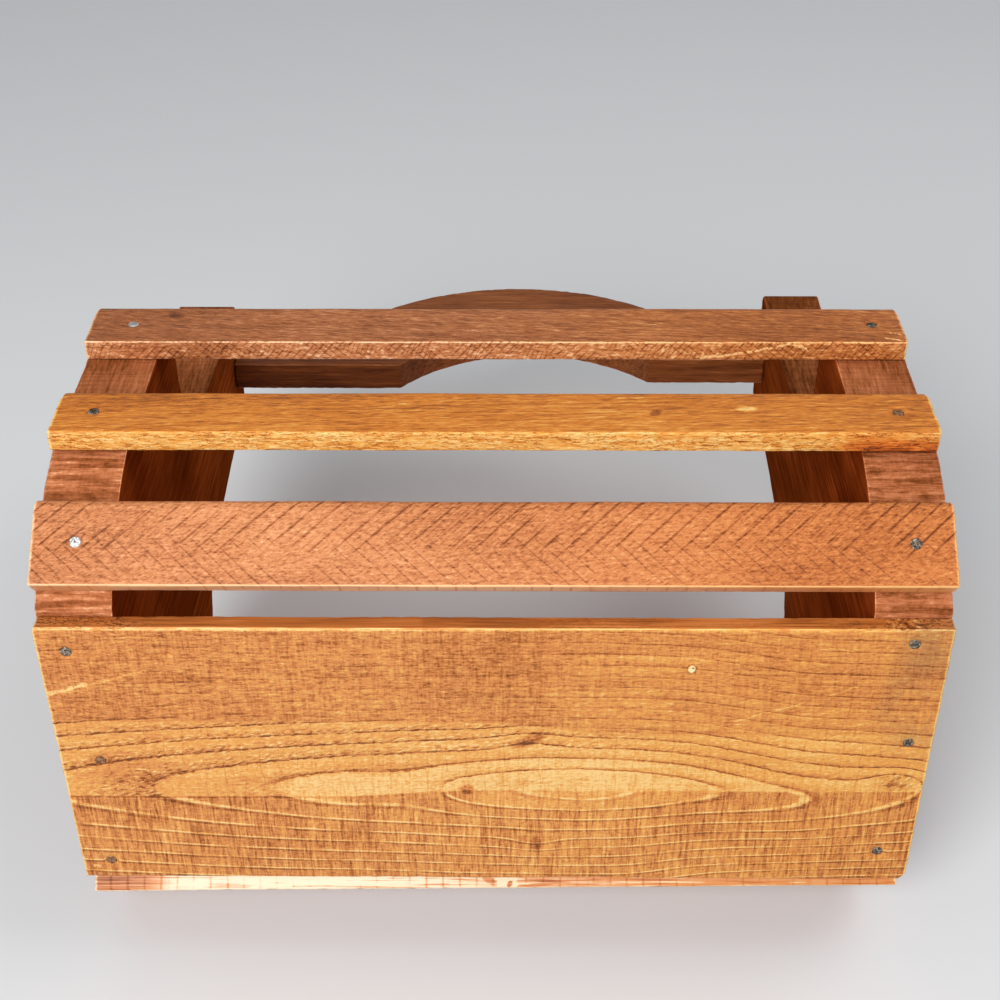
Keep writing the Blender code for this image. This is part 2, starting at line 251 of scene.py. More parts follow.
class Amount:
    """A number that changes over a board: the output of a shader node. Arithmetic on it makes Math nodes."""

    def __init__(self, wood, socket):
        self.wood = wood
        self.socket = socket

    def __add__(self, other):
        return self.wood.math("ADD", self, other)

    def __sub__(self, other):
        return self.wood.math("SUBTRACT", self, other)

    def __rsub__(self, other):
        return self.wood.math("SUBTRACT", other, self)

    def __mul__(self, other):
        return self.wood.math("MULTIPLY", self, other)

    def __abs__(self):
        return self.wood.math("ABSOLUTE", self)

    __radd__ = __add__
    __rmul__ = __mul__


def lengthways(u, v, angle):
    """The way along a line that leans by an angle, in degrees: u cos a + v sin a."""
    return u * math.cos(math.radians(angle)) + v * math.sin(math.radians(angle))


def crossways(u, v, angle):
    """The way across the same line: u sin a - v cos a."""
    return u * math.sin(math.radians(angle)) - v * math.cos(math.radians(angle))


class Timber:
    """Varnished softwood, built up layer by layer as one running tone and one running relief.

    The tone goes from 0, the darkest stain, to 1, the palest bare wood, and picks its colour from a palette.
    Ways are metres in the board's own directions: along the grain, across the face and out of it. frame
    turns the basket's directions into those. A layer's sizes, places and depths are millimetres, and its
    angles degrees. mask says where it lies, slant how far it leans across the grain, and shift gives it
    its own noise.
    """

    def __init__(self, name, frame, tone):
        self.material = bpy.data.materials.new(name)
        self.material.use_nodes = True
        self.tree = self.material.node_tree
        self.shader = self.tree.nodes["Principled BSDF"]
        turned = self.node("ShaderNodeMapping", vector_type="TEXTURE")
        turned.inputs["Location"].default_value = frame.translation
        turned.inputs["Rotation"].default_value = frame.to_euler()
        self.feed(turned.inputs["Vector"], self.node("ShaderNodeTexCoord").outputs["Object"])
        self.point = turned.outputs[0]
        split = self.node("ShaderNodeSeparateXYZ")
        self.feed(split.inputs[0], self.point)
        self.along, self.across, self.out = (Amount(self, way) for way in split.outputs)
        self.worn = Amount(self, self.node("ShaderNodeAttribute", attribute_name="worn").outputs["Fac"])
        self.tone = tone
        self.relief = 0.0

    def node(self, kind, **settings):
        made = self.tree.nodes.new(kind)
        for key, value in settings.items():
            setattr(made, key, value)
        return made

    def feed(self, socket, value):
        """Links an amount or an output to a socket, or writes a plain value there."""
        if isinstance(value, Amount):
            value = value.socket
        if isinstance(value, bpy.types.NodeSocket):
            self.tree.links.new(value, socket)
        else:
            socket.default_value = value

    def made_from(self, values, kind, **settings):
        """The first output of a new node whose first sockets are fed with values."""
        made = self.node(kind, **settings)
        for socket, value in zip(made.inputs, values):
            self.feed(socket, value)
        return Amount(self, made.outputs[0])

    def math(self, operation, a, b=0.0):
        return self.made_from((a, b), "ShaderNodeMath", operation=operation)

    def combine(self, a, b, c):
        return self.made_from((a, b, c), "ShaderNodeCombineXYZ")

    def ramp(self, value, low, high, at_low=0.0, at_high=1.0):
        """A smooth step: at_low where value is below low, at_high where it is above high."""
        steps = (value, low, high, at_low, at_high)
        return self.made_from(steps, "ShaderNodeMapRange", interpolation_type="SMOOTHSTEP")

    def fall(self, value, low, high):
        """A smooth step down: 1 where value is below low, 0 where it is above high."""
        return self.ramp(value, low, high, 1.0, 0.0)

    def zone(self, way, low, high, at_low=0.0, at_high=1.0):
        """A smooth step between two places, in millimetres."""
        return self.ramp(way, low * MM, high * MM, at_low, at_high)

    def near(self, way, limit, start, full, amount=1.0):
        """A smooth step from 0 to amount, as way comes from start to full millimetres short of limit."""
        return self.ramp(way, limit - start * MM, limit - full * MM, 0.0, amount)

    def noise(self, stretch, detail, roughness, shift=0.0, point=None):
        """Cloudy noise about 0.5, with stretch cycles to the metre along, across and out of the board."""
        scaling = (point or self.point, stretch, (shift, shift * 1.7, shift * 2.3))
        scaled = self.made_from(scaling, "ShaderNodeVectorMath", operation="MULTIPLY_ADD")
        made = self.node("ShaderNodeTexNoise")
        settings = {"Vector": scaled, "Scale": 1.0, "Detail": detail, "Roughness": roughness}
        for name, value in settings.items():
            self.feed(made.inputs[name], value)
        return Amount(self, made.outputs["Fac"])

    def stray(self, reach, stretch, detail, roughness, shift=0.0):
        """Noise about 0, reach wide."""
        return (self.noise(stretch, detail, roughness, shift) - 0.5) * reach

    def tilted(self, slant):
        """The point with its way across moved on by slant times the way along, so that grain runs askew."""
        return self.combine(self.along, self.across - self.along * slant, self.out)

    def comb(self, way, pitch, start, end):
        """Evenly spaced cuts: 1 up to start from a cut's middle, 0 beyond end, both as shares of pitch."""
        return self.fall(abs(self.math("FRACT", way * (1 / (pitch * MM))) - 0.5), start, end)

    def shade(self, amount, mask=1.0):
        """Adds amount times mask to the running tone."""
        self.tone = self.tone + amount * mask

    def raise_by(self, amount, mask=1.0):
        """Adds amount times mask, in millimetres, to the running relief."""
        self.relief = self.relief + amount * mask

    def cuts(self, value, cut, land, strength, paler, depth, mask):
        """Darkens and sinks the wood where value rises through cut, and pales it where it is under land."""
        dark = self.ramp(value, *cut) * mask
        pale = self.fall(value, *land) * mask
        self.shade(dark, -strength)
        self.shade(pale, paler * strength)
        self.raise_by(dark, -depth)
        return pale

    def blotches(self, size, strength, shift):
        """Uneven stain: cloudy patches, longer along the grain than across it."""
        size = size * MM
        patch = self.noise((0.45 / size, 1 / size, 1 / size), 3.0, 0.55, shift)
        self.shade(self.ramp(patch, 0.3, 0.7, -strength, strength))

    def fibres(self, strength, slant=0.0, shift=0.0):
        """Fine grain: noise drawn out along the board, in a coarse and a hair-fine layer."""
        tilted = self.tilted(slant)
        coarse = self.noise((14, 520, 520), 3.0, 0.6, shift, tilted)
        fine = self.noise((60, 2300, 2300), 2.0, 0.6, shift + 3, tilted)
        self.shade(self.ramp(coarse, 0.28, 0.72, -strength, strength))
        self.shade(self.ramp(fine, 0.25, 0.75, -strength * 0.7, strength * 0.7))
        self.raise_by(self.ramp(fine, 0.25, 0.75, 0.0, 0.05))

    def pith_distance(self, middle, depth, slopes, squeeze, wander):
        """How far a point lies from the heart of the log, in metres: the root of off and deep, both squared.

        The heart runs under the face below the place middle, depth deep there, and sinks away to the low and
        the high end by slopes times the way along. squeeze crowds the rings below the heart and near it.
        wander, in metres, lets the rings stray.
        """
        slow = self.stray(4 * wander, (5, 14, 14), 2.0, 0.5)
        quick = self.stray(1.1 * wander, (26, 90, 90), 3.0, 0.6, 1)
        off = self.across - middle[1] + (slow + quick)
        off = off + self.math("MINIMUM", off, 16 * MM) * (squeeze - 1.0)
        way = self.along - middle[0]
        deep = self.math("MAXIMUM", way * -slopes[0], way * slopes[1]) + depth - self.out
        return self.math("SQRT", off * off + deep * deep)

    def rings(self, distance, first, spacing, dark, pale, raised, dark_mask, pale_mask):
        """Growth rings: the pith distance counted in spacings from the first ring's edge.

        Just outside each edge runs a thin, crooked dark line with a broad faint darkening beyond it, and
        just inside it a thin pale ridge, pale wood with a painted highlight. Where pale_mask lays the
        ridges, the thin dark line beside each is the ridge's painted shadow.
        """
        crooked = self.stray(1.5 * MM, (330, 500, 500), 2.0, 0.6, 6)
        share = self.math("FRACT", (distance + crooked * dark_mask - first) * (1 / spacing))
        thin = self.ramp(share, 0.0, 0.03) * self.fall(share, 0.09, 0.18)
        broad = self.ramp(share, 0.0, 0.05) * self.fall(share, 0.1, 0.6)
        bare = self.ramp(share, 0.82, 0.90) * self.fall(share, 0.97, 1.0)
        broken = self.ramp(self.noise((60, 260, 260), 2.0, 0.6, 8), 0.32, 0.55, 0.25, 1.0)
        self.shade(thin * -dark, dark_mask * broken)
        self.shade(broad * (-0.3 * dark), dark_mask)
        # Pale ridges, pale wood with a painted highlight, and beside them their painted shadow, a thin dark
        # line.
        self.shade(bare * pale, pale_mask * broken)
        self.shade(thin * (-0.6 * pale), pale_mask * broken)
        self.raise_by(bare * pale_mask, raised)
        self.raise_by(thin * dark_mask, -raised)
        return share

    def saw_lines(self, angle, pitch, length, strength, depth, mask, shift):
        """Marks of the saw: straight scores at an angle to the grain, each fading in and out."""
        over, run = crossways(self.along, self.across, angle), lengthways(self.along, self.across, angle)
        stretch = (1 / (pitch * MM), 1 / (length * MM), 0)
        streak = self.noise(stretch, 2.0, 0.65, shift, self.combine(over, run, 0.0))
        self.cuts(streak, (0.54, 0.60), (0.36, 0.45), strength, 0.85, depth, mask)

    def scores(self, angle, pitch, strength, depth, mask, width, wave, shift):
        """Evenly spaced deep saw scores at an angle to the grain, straying by wave and fading in places."""
        stray = self.stray(wave * MM, (30, 60, 60), 1.0, 0.5, shift)
        cut = self.comb(crossways(self.along, self.across, angle) + stray, pitch, 0.0, width)
        score = cut * self.ramp(self.noise((36, 70, 70), 2.0, 0.5, shift + 5), 0.36, 0.54) * mask
        self.shade(score, -strength)
        self.raise_by(score, -depth)

    def crinkle(self, strength, depth, stretch, mask, thin, shift):
        """Torn grain: thin crooked cracks with a pale lip, a painted highlight, where a noise passes its
        middle value.
        """
        off = abs(self.noise(stretch, 3.0, 0.62, shift) - 0.5)
        broad = tuple(v * 0.3 for v in stretch)
        patches = self.ramp(self.noise(broad, 2.0, 0.5, shift + 4), 0.36, 0.5) * mask
        crack = self.fall(off, 0.2 * thin, thin) * patches
        lip = self.ramp(off, thin, 1.6 * thin) * self.fall(off, 1.8 * thin, 3.2 * thin) * patches
        self.shade(crack, -strength)
        # Painted highlight on the lip.
        self.shade(lip, 0.35 * strength)
        self.raise_by(crack, -depth)

    def torn(self, strength, depth, stretch, slant, mask, shift):
        """Torn grain: short dark nicks and lifted fibres, pale as a painted highlight, from the two ends of
        one noise.
        """
        ragged = self.noise(stretch, 3.0, 0.6, shift, self.tilted(slant))
        # The lifted fibres' paler tone is a painted highlight.
        lip = self.cuts(ragged, (0.53, 0.64), (0.35, 0.46), strength, 1.1, depth, mask)
        self.raise_by(lip, depth)

    def streaks(self, strength, slant, pitch, length, mask, shift):
        """Thin dark lines of late wood, drawn out along the board and slanting a little across it."""
        stretch = (1 / (length * MM), 1 / (pitch * MM), 1 / (pitch * MM))
        line = self.noise(stretch, 3.0, 0.65, shift, self.tilted(slant))
        self.cuts(line, (0.54, 0.62), (0.36, 0.43), strength, 0.85, 0.05, mask)

    def flecks(self, strength, sparse, mask, shift):
        """Short dark dashes along the grain, where the saw tore the fibres."""
        fleck = self.ramp(self.noise((170, 1200, 1200), 2.0, 0.55, shift), sparse, sparse + 0.09) * mask
        self.shade(fleck, -strength)
        self.raise_by(fleck, -0.12)

    def spot(self, at, size, strength, edge, lean=0.0, raised=0.0, on=None):
        """A knot, dent or stain: an oval about a place (along, across), of half-sizes size, leaning by lean.

        edge is how soft its border is. on takes the place of the way across, as on an edge.
        """
        du, dv = self.along - at[0] * MM, (on or self.across) - at[1] * MM
        long = lengthways(du, dv, lean) * (1 / (size[0] * MM))
        wide = crossways(du, dv, lean) * (1 / (size[1] * MM))
        ragged = self.stray(0.7, (260, 500, 500), 2.0, 0.6, 0.05 * at[0])
        inside = self.fall(self.math("SQRT", long * long + wide * wide) + ragged, 1 - edge, 1 + edge)
        self.shade(inside, strength)
        self.raise_by(inside, raised)
        return inside

    def scratch(self, start, end, width, strength, on=None, mask=1.0):
        """A pale scratch, straying from the straight line between two places (along, across).

        on takes the place of the way across, as on an edge.
        """
        length = math.dist(start, end)
        angle = math.degrees(math.atan2(end[1] - start[1], end[0] - start[0]))
        u, v = self.along - start[0] * MM, (on or self.across) - start[1] * MM
        way = lengthways(u, v, angle)
        off = abs(self.stray(4 * MM, (120, 120, 120), 2.0, 0.6, 0.09 * start[0]) - crossways(u, v, angle))
        inside = self.zone(way, 0, 2) * self.zone(way, length - 2, length, 1.0, 0.0)
        rough = self.ramp(self.noise((700, 700, 700), 1.0, 0.5, 0.07 * start[1]), 0.3, 0.5)
        self.shade(self.zone(off, 0, width, 1.0, 0.0) * inside * rough, mask * strength)

    def edges(self, strength):
        """Arrises rubbed pale: the mesh says where they are, and noise breaks the rubbing up."""
        patchy = self.ramp(self.noise((55, 160, 160), 2.0, 0.6, 11), 0.3, 0.62, 0.45, 1.0)
        self.shade(self.ramp(self.worn, 0.3, 0.9) * patchy, strength)

    def end_grain(self):
        """The cut ends of the fibres show at both ends of the board: darker, rough, pitted."""
        cut_end = self.near(abs(self.along), half_length, 0.4, 0.2)
        pits = self.noise((900, 900, 900), 3.0, 0.7, 21)
        self.shade(cut_end, self.ramp(pits, 0.35, 0.65, -0.3, 0.06))
        self.raise_by(cut_end, self.ramp(pits, 0.35, 0.65, -0.2, 0.0))

    def finish(self, palette, gloss=0.4, tints=(), sheen=0.2, coat=0.04):
        """Colours the tone from the palette, and sets the varnish and the relief.

        The palette holds linear colours at even steps of the tone. tints are pairs of a mask and the colour
        that the wood is multiplied by there.
        """
        ramp = self.node("ShaderNodeValToRGB")
        stops = ramp.color_ramp.elements
        while len(stops) < len(palette):
            stops.new(0.5)
        for number, (stop, colour) in enumerate(zip(stops, palette)):
            stop.position = number / (len(palette) - 1)
            stop.color = (*colour, 1.0)
        self.feed(ramp.inputs[0], self.tone)
        colour = ramp.outputs[0]
        for mask, hue in tints:
            mixed = self.node("ShaderNodeMix", data_type="RGBA", blend_type="MULTIPLY")
            self.feed(mixed.inputs[0], mask)
            self.feed(mixed.inputs[6], colour)
            mixed.inputs[7].default_value = (*hue, 1.0)
            colour = mixed.outputs[2]
        bump = self.node("ShaderNodeBump")
        bump.inputs["Strength"].default_value = 1.0
        bump.inputs["Distance"].default_value = MM
        self.feed(bump.inputs["Height"], self.relief)
        smear = self.noise((60, 120, 120), 3.0, 0.6, 41)
        for name, value in (
            ("Base Color", colour),
            ("Roughness", self.ramp(smear, 0.3, 0.7, gloss - 0.06, gloss + 0.14)),
            ("Specular IOR Level", sheen),
            ("Coat Weight", coat),
            ("Coat Roughness", 0.28),
            ("Normal", bump.outputs[0]),
        ):
            self.feed(self.shader.inputs[name], value)
        return self.material


def put(piece, node, material):
    """Gives a piece its material in a new slot and its body, and hides the CAD node it stands for."""
    piece.data.materials.append(material)
    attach(piece, "root")
    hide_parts(node)


def directions(across, out, along, origin):
    """Matrix from a board's own (across, out, along) to the basket."""
    made = Matrix((across, out, along)).transposed().to_4x4()
    made.translation = origin
    return made


def grain_frame(place):
    """The same place as a grain frame: along the grain, across the face, out of it."""
    columns = place.to_3x3().col
    return directions(columns[2], columns[0], columns[1], place.translation)


def nail_middle(node):
    """Middle of a nail's CAD box."""
    low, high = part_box(node)
    return (low + high) / 2


low_corner, high_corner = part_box("bottom_board")
half_length = high_corner.x
board_width = high_corner.y - low_corner.y
board_thickness = high_corner.z - low_corner.z
bottom_place = directions((0, -1, 0), (0, 0, -1), (1, 0, 0), (0, 0, board_thickness))
BOTTOM_PITCH = 1.9 * MM
BOTTOM_STATION = 2.2 * MM
BOTTOM_EASES = (0.8 * MM, 1.1 * MM, 1.0 * MM)
BOTTOM_WEAR = (0.5, 0.7, 1.0)
BOTTOM_ENDS = ((-1, 1, 4.5 * MM, 6 * MM), (1, -1, 1.2 * MM, 5 * MM))
bottom_nails = [
    nail_middle(f"nail_bottom_{side}_{number}") for side in ("left", "right") for number in (1, 2, 3)
]
bottom = carried(
    "bottom_board_sawn",
    *slat_section(board_width, board_thickness, BOTTOM_PITCH, BOTTOM_EASES, BOTTOM_WEAR),
    rows=4, places=stations(-half_length, half_length, BOTTOM_STATION), place=bottom_place, seed=11,
    nails=[(-middle.y, middle.x) for middle in bottom_nails], corners=BOTTOM_ENDS,
)

HEART_MIDDLE = 45 * MM
HEART_DEPTH = 4 * MM
HEART_SLOPES = (0.115, 0.155)
HEART_WANDER = 0.9 * MM
RING_FIRST = 22 * MM
RING_SPACING = 6.9 * MM
RING_EDGE = 1 * MM
GOLD_TOP = 26.5 * MM
GOLD_FOOT = -26 * MM
KNOT_LENGTH = 1.7
KNOT_FADE = 0.36
BOTTOM_PALETTE = (
    (0.20, 0.052, 0.010), (0.45, 0.135, 0.026), (0.70, 0.258, 0.076),
    (0.83, 0.385, 0.092), (0.95, 0.62, 0.25),
)
# Where knots push the rings out: (along, across), reach, push
KNOTS = (
    ((18, 15), 11, 4), ((-13.5, -20), 7, 3), ((-40, -20), 17, -5), ((202, -13.6), 9, 9), ((22, -59), 8, 4),
)
# Knots, dents and stains: (along, across), half-sizes, change of tone, softness of the border, lean
BOTTOM_SPOTS = (
    ((20, 16), (7.5, 3.0), -0.42, 0.5, 30),
    ((13, 11.5), (4.5, 2.6), -0.36, 0.5, 10),
    ((-13.5, -20), (3.6, 3.0), -0.45, 0.4),
    ((22, -60.7), (3.5, 4.5), -0.34, 0.6),
    ((-145, 53), (9, 6), -0.12, 0.6),
    ((-186, -8), (17, 13), -0.17, 0.6),
    ((94.5, 61.5), (2.6, 3.0), -0.25, 0.3),
    ((95.1, 62.1), (0.7, 0.7), -0.8, 0.3),
)
# Scratches: from, to, width, change of tone
BOTTOM_SCRATCHES = (
    ((-216, 44), (-194, 51), 1.9, 0.8),
    ((-196, 50), (-163, 60), 1.1, 0.28),
    ((116, 27), (150, 40), 0.8, 0.35),
    ((160, 44), (176, 51), 0.8, 0.35),
    ((150, 73), (168, 74.5), 0.7, 0.35),
    ((-180, -6.2), (-171, -7.0), 1.2, 0.5),
    ((-212, -78.5), (-206, -77.5), 1.6, 0.6),
)

wood = Timber("bottom_wood", grain_frame(bottom_place), 0.5)
side_face = wood.near(abs(wood.across), board_width / 2, 0.9, 0.5)
broad_face = 1.0 - side_face
right_half = wood.zone(wood.along, 0, 60)
height = wood.across + wood.stray(6 * MM, (9, 30, 30), 3.0, 0.6, 2) + right_half * (8 * MM)
upper_zone = wood.ramp(height, GOLD_TOP - 1.5 * MM, GOLD_TOP + 1.5 * MM, 0.0, 1.0 - right_half * 0.35)
heart_across = wood.zone(wood.along, 90, 160, -20.3 * MM, -26 * MM)
crowded = wood.zone(wood.along, 60, 160, 1.0, 1.25)
heart_distance = wood.pith_distance(
    (HEART_MIDDLE, heart_across), board_thickness + HEART_DEPTH, HEART_SLOPES, crowded, HEART_WANDER
)
for knot_at, reach, push in KNOTS:
    du = (wood.along - knot_at[0] * MM) * (1 / (reach * KNOT_LENGTH * MM))
    dv = (wood.across - knot_at[1] * MM) * (1 / (reach * MM))
    heart_distance = heart_distance - wood.math("POWER", KNOT_FADE, du * du + dv * dv) * (push * MM)
in_oval, in_tongue, in_outer = (
    wood.fall(heart_distance, edge - RING_EDGE, edge)
    for edge in (RING_FIRST - RING_SPACING, RING_FIRST, RING_FIRST + RING_SPACING)
)
open_tongue = in_tongue * wood.zone(wood.along, -96, -70, 0.9, 0.0)
open_tongue = open_tongue + in_oval * wood.zone(wood.along, -14, 0, 0.0, 0.4)
foot_line = wood.across + wood.zone(wood.along, -90, -10, 0.0, -5 * MM)
lower_zone = wood.fall(foot_line, GOLD_FOOT - 0.7 * MM, GOLD_FOOT + 0.7 * MM) * (1.0 - open_tongue)
gold_zone = 1.0 - upper_zone - lower_zone
beside_heart = wood.zone(abs(wood.across - heart_across), 1, 7, 0.15, 1.0)
faint = wood.ramp(wood.noise((22, 200, 200), 2.0, 0.6, 31), 0.45, 0.6, 0.0, 0.32)
dark_rings = (gold_zone + upper_zone * faint) * beside_heart * (1.0 - in_oval * 0.9)
ring_share = wood.rings(
    heart_distance, RING_FIRST, RING_SPACING, 0.42, 0.42, 0.2,
    dark_mask=dark_rings * broad_face, pale_mask=(lower_zone + 0.1) * broad_face,
)
foot_kerf = wood.zone(abs(foot_line - GOLD_FOOT), 0.4, 1.1, 1.0, 0.0)
wood.shade(foot_kerf * wood.zone(wood.along, -120, -40, -0.25, 0.0), broad_face)
patch = wood.zone(wood.along, -34, -32) * wood.zone(wood.along, 22, 30, 1.0, 0.0)
for where, paler in (
    (gold_zone, 0.25), (lower_zone, 0.06), (upper_zone, 0.01), (patch * upper_zone, -0.07),
    (in_tongue * gold_zone, 0.12), (in_outer * gold_zone, 0.05), (side_face, -0.25),
    (wood.zone(wood.along, 180, 214) * lower_zone, -0.12),
):
    wood.shade(where, paler)
wood.blotches(60, 0.07, 4)
wood.fibres(0.06)
wood.streaks(0.17, 0.0, 2.2, 50, right_half * upper_zone, 12)
wood.streaks(0.12, 0.0, 1.2, 50, side_face, 23)
wood.torn(0.18, 0.12, (200, 680, 680), 0.0, upper_zone * broad_face, 5)
wood.torn(0.14, 0.07, (450, 950, 950), 0.0, broad_face, 6)
torn_bands = gold_zone * (1.0 - in_outer * 0.6) * wood.ramp(ring_share, 0.15, 0.75, 1.0, 0.3)
wood.torn(0.42, 0.2, (280, 680, 680), 0.25, torn_bands * wood.zone(wood.along, 20, 90, 1.0, 0.35), 9)
sawn = (upper_zone * 0.5 + lower_zone + in_outer * gold_zone * 0.3 + 0.15) * broad_face
wood.saw_lines(90, 1.3, 10, 0.15, 0.07, sawn, 1)
wood.saw_lines(90.5, 1.7, 34, 0.12, 0.09, sawn * (lower_zone * 0.5 + 0.5), 7)
wood.saw_lines(89.5, 7, 80, 0.05, 0.04, sawn, 9)
wood.scores(90, 9.3, 0.14, 0.1, (1.0 - upper_zone * 0.6) * broad_face, 0.05, 6.0, 3)
for spot in BOTTOM_SPOTS:
    wood.spot(*spot)
for scratch in BOTTOM_SCRATCHES:
    wood.scratch(*scratch)
# A brass pin's head: a pale spot, brass with a painted glint, tinted paler below.
brass_and_glint = wood.spot((94.5, 61.5), (1.8, 2.3), 0.95, 0.2, raised=0.3)
end_knot = wood.spot((202, -13.6), (8, 6.5), -0.06, 0.3)
wood.torn(0.4, 0.3, (300, 420, 420), 0.5, end_knot, 14)
edge_knot = wood.spot((194, board_width / 2 / MM), (9, 6), 0.0, 0.3)
wood.torn(0.5, 0.35, (240, 420, 420), 0.3, side_face * edge_knot, 27)
cracked = wood.zone(wood.along, -150, -180) + wood.zone(wood.along, 150, 185)
wood.crinkle(0.35, 0.25, (220, 700, 700), side_face * cracked, 0.04, 19)
rubbed_side = wood.near(wood.across, board_width / 2, 2.2, 1.2) * wood.zone(wood.along, -60, 120, 1.0, 0.4)
rubbed_end = wood.near(abs(wood.along), half_length, 1.7, 0.9)
patchy = wood.ramp(wood.noise((90, 200, 200), 3.0, 0.6, 12), 0.3, 0.55, 0.2, 0.5)
wood.shade(wood.math("MAXIMUM", rubbed_side, rubbed_end) * patchy, broad_face)
wood.edges(0.75)
wood.end_grain()
soot = wood.ramp(wood.noise((55, 30, 30), 3.0, 0.6, 15), 0.3, 0.6) * wood.zone(wood.along, 178, 204) * 0.85
material = wood.finish(
    BOTTOM_PALETTE,
    tints=(
        (wood.zone(wood.along, -60, 190, 0.0, 0.8), (1.0, 0.965, 0.80)),
        (soot * wood.zone(wood.across, 0, 30), (0.66, 0.70, 0.93)),
        (brass_and_glint, (1.0, 1.35, 2.1)),
    ),
)
put(bottom, "bottom_board", material)


# Corner slats
# A slat on each rounded lower corner of the end boards, nailed once at each end. Its face keeps the crossing
# diagonal scores of the saw. The back one thins towards its right end, as hand-sawn stock does.

BELLY_RADIUS = 114 * MM
BELLY_INSET = 46 * MM
BODY_HALF_WIDTH = 135 * MM
SEAT_GAP = 0.3 * MM
BODY_BASE = board_thickness + SEAT_GAP
CORNER_ALONG_BELLY = 30 * MM
CORNER_WIDTH = 42 * MM
CORNER_SLAT_ENDS = ((1, -1, 0.8 * MM, 8 * MM), (1, 1, 0.8 * MM, 8 * MM))
SLAT_THICKNESS = 11 * MM
BACK_TAPER = 5 * MM
SLAT_BACK_EASE = 0.9 * MM
SLAT_HIGH_EASE = 4.5 * MM
SLAT_PITCH = 2.0 * MM
SLAT_STATION = 2.4 * MM
HALF_TURN = Matrix.Rotation(math.pi, 4, "Z")

belly_rise = math.sqrt(BELLY_RADIUS**2 - (BELLY_RADIUS - BELLY_INSET) ** 2)
belly_foot = math.acos((BELLY_RADIUS - BELLY_INSET) / BELLY_RADIUS)
belly_centre = Vector((0, BELLY_RADIUS - BODY_HALF_WIDTH, BODY_BASE + belly_rise))
corner_turn = belly_foot - CORNER_ALONG_BELLY / BELLY_RADIUS
corner_out = Vector((0, -math.cos(corner_turn), -math.sin(corner_turn)))
corner_seat = belly_centre + corner_out * (BELLY_RADIUS + SEAT_GAP)


def slat(face_name, row, middle, out, width, low_ease, wear, corners, tone, seed):
    """A slat, from the middle of its back face and the way it faces. The back one is turned half round.

    Gives the piece, its place, its wood, and two masks: its sawn lower edge, and all the rest.
    """
    along = Vector((1, 0, 0))
    place = directions(out.cross(along), out, along, middle)
    if face_name == "back":
        place = HALF_TURN @ place
    sign = place[0][2]
    nails = [(0.0, sign * nail_middle(f"nail_{face_name}_{row}_{side}").x) for side in ("left", "right")]
    piece = carried(
        f"{face_name}_{row}_slat_sawn",
        *slat_section(width, SLAT_THICKNESS, SLAT_PITCH, (SLAT_BACK_EASE, low_ease, SLAT_HIGH_EASE), wear),
        rows=6, places=stations(-half_length, half_length, SLAT_STATION), place=place, seed=seed,
        nails=nails, corners=corners,
    )
    wood = Timber(f"{face_name}_{row}_wood", grain_frame(place), tone)
    low_edge = wood.fall(wood.across, 0.6 * MM - width / 2, 1.2 * MM - width / 2)
    return piece, place, wood, low_edge, 1.0 - low_edge


def thinned(piece, place, taper):
    """Thins a slat evenly towards its low end, where it loses taper, by pressing its face inwards."""
    flat = np.empty(len(piece.data.vertices) * 3)
    piece.data.vertices.foreach_get("co", flat)
    turn, origin = np.array(place.to_3x3()), np.array(place.translation)
    local = (flat.reshape(-1, 3) - origin) @ turn
    share = (half_length - local[:, 2]) / (2 * half_length)
    local[:, 1] *= 1 - taper / SLAT_THICKNESS * share
    piece.data.vertices.foreach_set("co", (local @ turn.T + origin).ravel())
    piece.data.update()


def ends(wood, rubbed):
    """Marks the sawn ends of a slat, and rubs its face pale along them."""
    patchy = wood.ramp(wood.noise((90, 160, 160), 3.0, 0.6, 12), 0.32, 0.58, 0.15, 1.0)
    wood.shade(wood.near(abs(wood.along), half_length, 1.9, 0.9) * patchy, rubbed)
    wood.end_grain()


CORNER_PALETTE = (
    (0.19, 0.052, 0.014), (0.42, 0.130, 0.042), (0.65, 0.240, 0.090),
    (0.80, 0.350, 0.150), (0.95, 0.62, 0.34),
)
# The back slat's palette ends paler, for its bare edge and the painted reflection on it.
BACK_PALETTE = CORNER_PALETTE[:-1] + ((0.95, 0.80, 0.57),)
